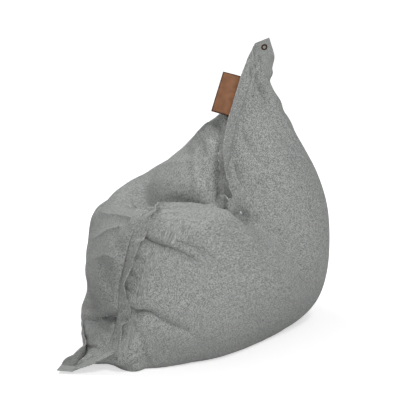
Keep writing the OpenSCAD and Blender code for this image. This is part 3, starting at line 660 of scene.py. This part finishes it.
# ---- Border ------------------------------------------------------------------------------
# Outside the seam the two panels run on as a flat double border, 52 mm wide, with its edge
# turned in. It is limp: it stands, lies down or flips over as the bag pulls it.
# Each key is a station or rail along the side and the way that the border points there.
border_width = 0.052
ply = 0.0013
lowest_middle = 2.6 * ply
near_keys = [(0, 0.13, -0.39, 0.91), (0.5, 0.05, -0.57, 0.82), (1, 0.07, -0.66, 0.75),
             (1.5, 0.18, -0.66, 0.73), (2, 0.19, -0.66, 0.73), (2.5, 0.35, -0.76, 0.55),
             (3, 0.44, -0.78, 0.44), (3.5, 0.76, -0.60, 0.24), (3.8, 0.90, -0.41, 0.12),
             (4, 0.98, -0.17, -0.05), (4.5, 0.98, 0.08, 0.19), (4.8, 0.75, -0.06, 0.60),
             (5, 0.0, 0.05, 1.0), (5.2, -0.9, 0.1, 0.3), (5.6, -0.97, 0.16, 0.12),
             (6, -0.98, 0.15, 0.1), (6.4, -0.93, 0.3, 0.14), (6.65, -0.35, 0.1, 0.4),
             (6.8, 0.2, 0.1, 0.45), (7.0, 0.7, 0.3, 0.3), (7.3, 0.80, 0.45, 0.40),
             (7.6, 0.80, 0.57, 0.2), (7.9, 0.87, 0.49, 0.05), (8.1, 0.93, 0.30, 0.2),
             (8.5, 0.93, 0.20, 0.31), (8.9, 0.94, -0.1, 0.33), (9.2, 0.95, 0.13, 0.24),
             (9.5, 0.87, 0.49, 0.02), (9.9, 0.83, 0.56, -0.05), (10.3, 0.94, 0.05, 0.3),
             (10.6, 0.93, 0.21, 0.30), (11, 0.88, 0.47, 0.08), (11.5, 0.98, 0.1, 0.08),
             (12, 0.80, -0.55, 0.04)]
front_keys = [(0, -0.5, -0.85, 0.04), (0.5, 0.3, -0.6, 0.7), (1, 0.2, 0.0, 0.98),
              (2, 0, 0.0, 1), (4, 0, -0.05, 1), (5, 0, -0.22, 0.97), (6, 0.1, -0.3, 0.9)]
far_keys = [(0, -0.8, 0, 0.6), (1, -0.87, 0, 0.5), (4, -0.87, 0, 0.5), (6, -0.9, -0.1, 0.4),
            (7, -0.87, -0.3, 0.4), (8, -0.93, -0.15, 0.3), (9, -0.95, 0.2, 0.15),
            (11, -0.9, 0.4, 0.1), (12, -0.7, 0.7, 0.1)]
back_keys = [(0, 0.31, 0.88, 0.36), (0.5, -0.45, 0.86, -0.05), (1, -0.85, 0.5, 0.05),
             (1.5, -0.9, 0.35, 0.25), (2, -0.85, 0.35, 0.4), (3, -0.3, 0.6, 0.75),
             (4, 0, 0.6, 0.8), (5, -0.1, 0.6, 0.8), (6, -0.3, 0.7, 0.65)]


def directions(keys, t):
    """Directions between the keys, eased from key to key. A key's length is the share of the
    width that shows there, which is less than 1 where the border is bunched up."""
    keys = np.array(keys, float)
    k = np.clip(np.searchsorted(keys[:, 0], t, "right") - 1, 0, len(keys) - 2)
    f = ((t - keys[k, 0]) / (keys[k + 1, 0] - keys[k, 0]))[:, None]
    f = f * f * (3 - 2 * f)
    way = keys[k, 1:] + (keys[k + 1, 1:] - keys[k, 1:]) * f
    length = np.linalg.norm(keys[:, 1:], axis=1).clip(0, 1)[:, None]
    length = length[k] + (length[k + 1] - length[k]) * f
    return way * length / np.linalg.norm(way, axis=1, keepdims=True)


def border_strip(sides, width, reach):
    """Middle surface of the border round the whole bag, as rows along the seam and columns
    from the seam outwards. A corner is a fan that opens from one side's way to the next's."""
    seam, out = [], []
    fan = np.linspace(0, 1, 9)[1:-1, None]
    for k, (points, way) in enumerate(sides):
        seam.append(points)
        out.append(way)
        turn = sides[(k + 1) % len(sides)][1][0]
        seam.append(np.repeat(points[-1:], 2 * len(fan) + 1, 0))
        out.append(np.concatenate([way[-1] + fan * turn, way[-1:] + turn,
                                   way[-1] * (1 - fan) + turn]))
    seam, out = np.concatenate(seam), np.concatenate(out)
    return seam[:, None] + width * reach[None, :, None] * out[:, None]


def side(lines, us, vs, keys):
    """Seam points and border directions along one side of the bag."""
    t = us if len(us) > 1 else vs
    return surface(lines, us, vs).reshape(-1, 3), directions(keys, t)


first, last_us, last_vs = np.array([0.0]), np.array([last_station]), np.array([last_rail])
near_side = side(seat_rails, np.linspace(0, last_station, 420), first, near_keys)
front_side = side(seat_rails, last_us, np.linspace(0, last_rail, 120), front_keys)
far_points, far_ways = side(seat_rails, np.linspace(0, last_station, 340), last_vs, far_keys)
back_points, back_ways = side(seat_rails, first, np.linspace(0, last_rail, 240), back_keys)
# The border's columns as shares of its width, closer together at its round edge.
reach = np.concatenate([np.linspace(0, 0.8, 10), [0.86, 0.91, 0.95, 0.975, 0.99, 1]])
middle = border_strip([near_side, front_side, (far_points[::-1], far_ways[::-1]),
                       (back_points[::-1], back_ways[::-1])], border_width, reach)
# Folds of the border beside the raised corner: height and half width in millimetres, and a
# path of (row, reach) counted from the near side's first row. They are made on a grid that is
# rolled by before rows, so that they lie clear of its edges.
border_folds = [(-24, 3.5, [(9, 0.08), (5, 0.36), (2, 0.7), (1, 0.88)]),
                (4, 6, [(13, 0.15), (9, 0.5), (7, 0.8)]),
                (-18, 3.5, [(22, 0.12), (18, 0.35), (15, 0.62)])]
before = 60
middle = folded(np.roll(middle, before, 0), 1, border_folds, np.arange(len(middle)) - before,
                reach)
middle = np.roll(middle, -before, 0)
middle[..., 2] = np.maximum(middle[..., 2], lowest_middle)


def border_normals(grid):
    """Unit normals of the border's middle surface, which closes on itself along the seam."""
    along = np.roll(grid, -1, 0) - np.roll(grid, 1, 0)
    n = np.cross(along, np.gradient(grid, axis=1))
    n[:, 0] = n[:, 1]
    return n / np.maximum(np.linalg.norm(n, axis=-1, keepdims=True), 1e-12)


stitched_at, turned_in_at, round_from = 0.07, 0.93, 0.95


def rounded(reach):
    """Half thickness of the border at a reach from 0 at the seam to 1 at its edge: pinched by
    the topstitch, full, thicker where the edges are turned in, and round at its edge."""
    pinched = 1 - 0.5 * np.exp(-((reach - stitched_at) / 0.05) ** 2)
    turned_in = 1 + 1.1 * np.exp(-((reach - turned_in_at) / 0.06) ** 2)
    return ply * pinched * turned_in * np.sqrt(
        np.clip(1 - ((reach - round_from) / 0.05).clip(0) ** 2, 0, 1))


up = border_normals(middle) * rounded(reach)[None, :, None]
ring = np.concatenate([middle + up, (middle - up)[:, ::-1]], axis=1)
border = piece("border", ring, quads(ring.shape[0], ring.shape[1], True, True),
               cloth_lengths(ring))
border.data.materials.append(cover_cloth)
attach(border, "bag")


def node_frame(node):
    """Centre and axes of a box-shaped node, longest axis first, from its corners."""
    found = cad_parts[node].data
    corners = np.empty(len(found.vertices) * 3)
    found.vertices.foreach_get("co", corners)
    corners = np.unique(corners.reshape(-1, 3).round(6), axis=0)
    centre = corners.mean(0)
    return centre, np.linalg.svd(corners - centre, full_matrices=False)[2]


def scored(obj, node, radius, reach_through=0.012, sides=40):
    """Cuts obj along a circle of that radius, on the axis of a ring-shaped node. The punch's
    faces look inwards, so the disc of cloth inside the circle stays."""
    centre, (first, second, through) = node_frame(node)
    turn = np.linspace(0, 2 * np.pi, sides + 1)[:-1, None]
    ring = centre + radius * (np.cos(turn) * first + np.sin(turn) * second)
    ends = np.concatenate([ring - reach_through * through, ring + reach_through * through])
    punch_data = bpy.data.meshes.new("punch")
    punch_data.from_pydata(ends.tolist(), [], [
        *[(k, (k + 1) % sides, sides + (k + 1) % sides, sides + k) for k in range(sides)],
        tuple(range(sides - 1, -1, -1)), tuple(range(sides, 2 * sides))])
    punch = bpy.data.objects.new("punch", punch_data)
    scene.collection.objects.link(punch)
    cut = obj.modifiers.new("circle", "BOOLEAN")
    cut.object = punch
    cut.operation = "DIFFERENCE"
    cut.solver = "EXACT"
    data = bpy.data.meshes.new_from_object(obj.evaluated_get(
        bpy.context.evaluated_depsgraph_get()))
    obj.modifiers.clear()
    obj.data = data
    bpy.data.objects.remove(punch)


eyelet_circle = 0.0062
scored(border, "eyelet", eyelet_circle)

# ---- Topstitch ---------------------------------------------------------------------------
# A line of grey thread through both plies, a few millimetres outside the seam, on both faces
# of the border. Each stitch is a short round-ended bar that dips into the cloth.
stitch_length, stitch_gap, thread_radius = 0.0042, 0.0013, 0.00045
stitch_rings, stitch_corners, stitch_dip = 5, 6, 0.7


def stitches(name, path, lift, finish, radius=thread_radius):
    """Stitches along a path of points, raised from the cloth by lift, a vector per point."""
    run = np.insert(np.cumsum(np.linalg.norm(np.diff(path, axis=0), axis=1)), 0, 0)
    starts = np.arange(0, run[-1] - stitch_length, stitch_length + stitch_gap)
    share = np.linspace(0, 1, stitch_rings)
    at = starts[:, None] + stitch_length * share
    centre, rise = (np.stack([np.interp(at, run, of[:, k]) for k in range(3)], -1)
                    for of in (path, lift))
    hump = np.sin(np.pi * share)[None, :, None]
    unit_rise = rise / np.maximum(np.linalg.norm(rise, axis=-1, keepdims=True), 1e-9)
    centre = centre + rise + unit_rise * radius * (hump - stitch_dip)
    way = np.gradient(centre, axis=1)
    way /= np.maximum(np.linalg.norm(way, axis=-1, keepdims=True), 1e-12)
    beside = np.cross(way, unit_rise)
    beside /= np.maximum(np.linalg.norm(beside, axis=-1, keepdims=True), 1e-12)
    above = np.cross(beside, way)
    turn = np.linspace(0, 2 * np.pi, stitch_corners, endpoint=False)
    thick = radius * np.array([0.35, 0.95, 1, 0.95, 0.35])[None, :, None, None]
    points = centre[:, :, None] + thick * (np.cos(turn)[:, None] * beside[:, :, None]
                                           + np.sin(turn)[:, None] * above[:, :, None])
    first_corner = stitch_rings * stitch_corners * np.arange(len(starts))[:, None, None]
    one = quads(stitch_rings, stitch_corners, False, True)
    faces = (one[None] + first_corner).reshape(-1, 4)
    ends = np.array([[0, 1, 2, 3], [0, 3, 4, 5], [27, 26, 25, 24], [29, 28, 27, 24]])
    ends = (ends[None] + first_corner).reshape(-1, 4)
    made = piece(name, points.reshape(-1, 3), np.concatenate([faces[:, ::-1], ends[:, ::-1]]))
    made.data.materials.append(finish)
    return made


grey_thread = plain_finish("grey_thread", grey(112), 0.7, 0.0001, "TexNoise", 3000)
stitch_column = 1
for side_name, sign in (("front", 1), ("back", -1)):
    row = middle[:, stitch_column]
    seam_thread = stitches("topstitch_" + side_name, row, sign * up[:, stitch_column], grey_thread)
    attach(seam_thread, "bag")

# ---- Label -------------------------------------------------------------------------------
# A strap of brown leather folded in two, with dark burnished edges and one row of stitches
# round its ends and its fold, sewn into the border by its open end. It is bare.
label_size, label_corner = (0.148, 0.058, 0.0032), 0.0008
label_bow, label_ripple, ripples_per_metre = 0.0016, 0.0008, 40
sewn_thinness = 0.35
burnished = 0.0042


def leather_finish(name, base, dark, edge_at):
    """Leather: a pebbled grain, slow tone changes, and dark burnished edges that end edge_at
    from the rim. The first value of the piece's UV map is the distance from its ends or its
    fold, whichever is nearer, in metres."""
    finish = Finish(name)
    place = finish.node("TexCoord", output="Object")
    grain = finish.node("TexVoronoi", {"feature": "SMOOTH_F1"}, {"Vector": place, "Scale": 700})
    pores = finish.node("TexNoise", None, {"Vector": place, "Scale": 1500, "Detail": 3})
    wear = finish.node("TexNoise", None, {"Vector": place, "Scale": 45, "Detail": 4})
    worn = finish.blend(finish.node("MapRange", None, {"Value": wear, 1: 0.35, 2: 0.65}),
                        dark, base)
    across = finish.node("UVMap", {"uv_map": "cloth"})
    edge = finish.node("SeparateXYZ", None, {0: across})
    rim = finish.node("MapRange", None, {"Value": edge, 1: edge_at, 2: edge_at * 0.4})
    colour = finish.blend(rim, worn, tuple(0.25 * c for c in dark))
    bump = finish.node("Bump", None, {"Height": grain * 0.7 + pores * 0.5, "Strength": 0.4,
                                      "Distance": 0.0004})
    return finish.surface(Base_Color=colour, Roughness=0.55, Normal=bump,
                          Specular_IOR_Level=0.35)


leather = leather_finish("label_leather", srgb(136, 90, 58), srgb(118, 76, 47), burnished)
label_centre, (label_along, label_across, label_through) = node_frame("label")
label_through = label_through * np.sign(label_through @ np.array(away))
sewn_centre = node_frame("label_sewn_edge")[0]
label_across = label_across * np.sign(label_across @ (label_centre - sewn_centre))
half_long, half_wide, half_thick = (k / 2 for k in label_size)
sewn_in = 0.012


def label_point(across, along, side_of):
    """A point of the strap: across from its sewn end to the fold, along its length, and
    side_of from -1 to 1 through its thickness. Past the border's edge it leans to its leaf's
    plane, and within the border it follows the border's plane. It bows a little."""
    bow = (label_bow * np.sin(np.pi * (along / label_size[0] + 0.5))
           + label_ripple * np.sin(ripples_per_metre * along))
    past = np.maximum(across, -half_wide) + half_wide
    within = np.minimum(across + half_wide, 0)
    thin = np.where(across < -half_wide, sewn_thinness, 1.0)
    return (label_root + past[..., None] * label_across + within[..., None] * sewn_across
            + along[..., None] * label_along
            + (thin * side_of * half_thick + bow)[..., None] * label_through)


label_root = label_centre - half_wide * label_across
sewn_across = label_root - sewn_centre
sewn_across -= (sewn_across @ label_along) * label_along
sewn_across /= np.linalg.norm(sewn_across)
leaf_width = 2 * half_wide + sewn_in
profile_turn = np.linspace(0, 2 * np.pi, 97)[:-1]
squared_across, squared_through = 0.12, 0.35    # powers; 1 is round and 0 is square
ring_across = np.sign(np.cos(profile_turn)) * np.abs(np.cos(profile_turn)) ** squared_across
ring_through = np.sign(np.sin(profile_turn)) * np.abs(np.sin(profile_turn)) ** squared_through
inset = label_corner * np.array([1.0, 0.7, 0.3, 0.1, 0])
between = np.linspace(-half_long, half_long, 57)[2:-2]
rows_along = np.concatenate([-half_long + inset[::-1], between, half_long - inset])
shrink = np.concatenate([inset, np.zeros(len(between)), inset[::-1]])[:, None]
ring_place = ring_across * (leaf_width / 2 - shrink) - sewn_in / 2
slab = label_point(ring_place, np.repeat(rows_along[:, None], len(profile_turn), 1),
                   ring_through * (1 - shrink / half_thick))
caps = [slab[k:k + 1 or None].mean(1, keepdims=True).repeat(len(profile_turn), 1) for k in (0, -1)]
slab = np.concatenate([caps[0], slab, caps[1]])
from_edge = np.minimum(half_long - np.abs(rows_along)[:, None], half_wide - ring_place)
from_edge = np.concatenate([from_edge[:1] * 0, from_edge, from_edge[:1] * 0])
label_piece = piece("label_leaf", slab, quads(len(slab), len(profile_turn), False, True),
                    np.stack([from_edge, np.zeros_like(from_edge)], -1))
label_piece.data.materials.append(leather)
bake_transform(label_piece)
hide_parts("label")
brown_thread = plain_finish("brown_thread", srgb(40, 26, 20), 0.7, 0.0001, "TexNoise", 3000)
stitch_in = 0.004       # metres in from the leather's edge
route_along = np.concatenate([np.full(20, -1), np.linspace(-1, 1, 60),
                              np.full(20, 1)]) * (half_long - stitch_in)
route_across = np.concatenate([np.linspace(-1, 1, 20), np.full(60, 1),
                               np.linspace(1, -1, 20)]) * (half_wide - stitch_in)
for side_name, sign in (("front", 1), ("back", -1)):
    route = label_point(route_across, route_along, np.zeros(len(route_along)))
    lifted = np.tile(sign * half_thick * label_through, (len(route), 1))
    label_thread = stitches("label_stitch_" + side_name, route, lifted, brown_thread)
    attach(label_thread, "label_flap")

# ---- Eyelet, zips and placket --------------------------------------------------------------
# The eyelet and its washer are rolled brass with a dark bronze finish. The zips have moulded
# teeth on woven tapes, with metal sliders and stops; the cover's zip lies in a sewn tray that
# keeps it off the floor. All of them keep their own solids.


def metal_finish(name, colour, worn, roughness):
    """Plated metal: even, with brighter wear where the surface turns and fine scratches."""
    finish = Finish(name)
    place = finish.node("TexCoord", output="Object")
    marks = finish.node("TexNoise", None, {"Vector": place, "Scale": 900, "Detail": 4})
    edge = finish.node("NewGeometry", output="Pointiness")
    bright = finish.node("MapRange", None, {"Value": edge, 1: 0.5, 2: 0.6})
    paint = finish.blend(bright * 0.6, colour, worn)
    bump = finish.node("Bump", None, {"Height": marks, "Strength": 0.15, "Distance": 0.0001})
    return finish.surface(Base_Color=paint, Metallic=1.0, Normal=bump,
                          Roughness=marks * 0.3 + roughness)


bronze = metal_finish("eyelet_metal", srgb(52, 38, 31), srgb(98, 78, 62), 0.3)
zinc = metal_finish("zip_metal", srgb(128, 128, 130), srgb(200, 200, 204), 0.25)
sewn_cloth = cloth_finish("sewn_cloth", grey(82), grey(198), mapped=False)
tape = plain_finish("zip_tape", grey(84), 0.85, 0.0003, "TexWave", 900)
liner_tape = plain_finish("liner_tape", grey(225), 0.85, 0.0003, "TexWave", 900)
teeth = plain_finish("zip_teeth", grey(66), 0.4, 0.0001, "TexNoise", 800)
liner_teeth = plain_finish("liner_teeth", grey(214), 0.4, 0.0001, "TexNoise", 800)
for node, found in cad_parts.items():
    kinds = {"eyelet": bronze, "slider": zinc, "puller": zinc, "stop": zinc,
             "placket": sewn_cloth, "label": leather,
             "tape": liner_tape if "liner" in node else tape,
             "teeth": liner_teeth if "liner" in node else teeth}
    finish = next((kinds[word] for word in kinds if word in node), None)
    if finish:
        found.data.materials.clear()
        found.data.materials.append(finish)
